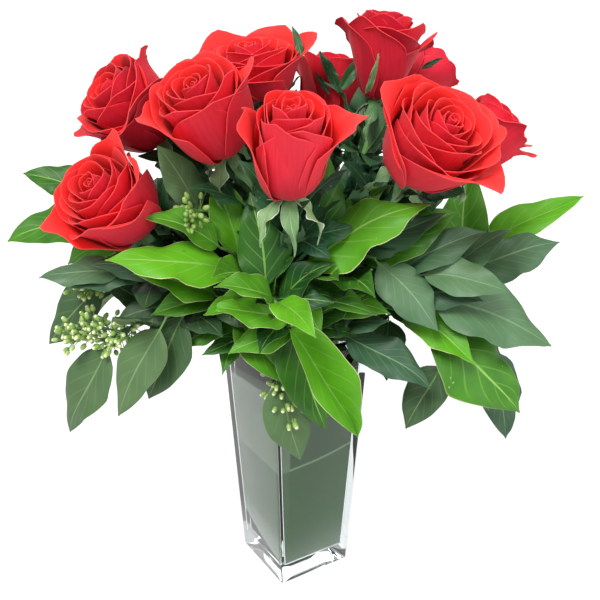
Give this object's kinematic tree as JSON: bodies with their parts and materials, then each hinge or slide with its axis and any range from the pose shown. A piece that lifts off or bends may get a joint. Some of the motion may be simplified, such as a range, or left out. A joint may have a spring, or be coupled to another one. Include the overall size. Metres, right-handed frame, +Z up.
{
  "type": "roses in a vase",
  "caption": "Bouquet of red long-stemmed roses with broad green leaves and seeded eucalyptus, standing in a square tapered clear glass vase lined with a leaf.",
  "frame": {"origin": "centre of the vase's underside, on the surface it stands on", "axes": "+Z up along the vase; the vase's sides are parallel to X and Y; the arrangement faces between -X and -Y, towards azimuth 238 degrees"},
  "size_m": [0.4317, 0.354, 0.4837],
  "materials": {
    "vase_glass": "clear polished glass",
    "lining_leaf": "dark green leaf, satin, wet below the water line",
    "rose_petals": "velvety red petals with paler edges",
    "rose_stems": "smooth green stems and pale green sepals",
    "salal_leaves": "glossy bright green leaves with a pale midrib",
    "gum_leaves": "satin grey-green leaves with fine side veins",
    "round_gum_leaves": "matte olive-grey leaves and pale green seed capsules"
  },
  "bodies": {
    "root": {"gum_spray_02": "gum_leaves", "gum_spray_16": "gum_leaves", "gum_spray_17": "gum_leaves", "gum_spray_20": "gum_leaves", "gum_spray_21": "gum_leaves", "gum_spray_22": "gum_leaves", "gum_spray_25": "gum_leaves", "gum_spray_29": "gum_leaves", "gum_spray_31": "gum_leaves", "lining_leaf": "lining_leaf", "rose_01_bloom": "rose_petals", "rose_01_stem": "rose_stems", "rose_02_bloom": "rose_petals", "rose_02_stem": "rose_stems", "rose_03_bloom": "rose_petals", "rose_03_stem": "rose_stems", "rose_04_bloom": "rose_petals", "rose_04_stem": "rose_stems", "rose_05_bloom": "rose_petals", "rose_05_stem": "rose_stems", "rose_06_bloom": "rose_petals", "rose_06_stem": "rose_stems", "rose_07_bloom": "rose_petals", "rose_07_stem": "rose_stems", "rose_08_bloom": "rose_petals", "rose_08_stem": "rose_stems", "rose_09_bloom": "rose_petals", "rose_09_stem": "rose_stems", "rose_10_bloom": "rose_petals", "rose_10_stem": "rose_stems", "rose_11_bloom": "rose_petals", "rose_11_stem": "rose_stems", "rose_12_bloom": "rose_petals", "rose_12_stem": "rose_stems", "roundgum_spray_03": "round_gum_leaves", "roundgum_spray_04": "round_gum_leaves", "roundgum_spray_05": "round_gum_leaves", "roundgum_spray_15": "round_gum_leaves", "roundgum_spray_18": "round_gum_leaves", "roundgum_spray_26": "round_gum_leaves", "roundgum_spray_33": "round_gum_leaves", "roundgum_spray_34": "round_gum_leaves", "salal_spray_01": "salal_leaves", "salal_spray_06": "salal_leaves", "salal_spray_07": "salal_leaves", "salal_spray_08": "salal_leaves", "salal_spray_09": "salal_leaves", "salal_spray_10": "salal_leaves", "salal_spray_11": "salal_leaves", "salal_spray_12": "salal_leaves", "salal_spray_13": "salal_leaves", "salal_spray_14": "salal_leaves", "salal_spray_19": "salal_leaves", "salal_spray_23": "salal_leaves", "salal_spray_24": "salal_leaves", "salal_spray_27": "salal_leaves", "salal_spray_28": "salal_leaves", "salal_spray_30": "salal_leaves", "salal_spray_32": "salal_leaves", "vase": "vase_glass"}
  },
  "joints": []
}
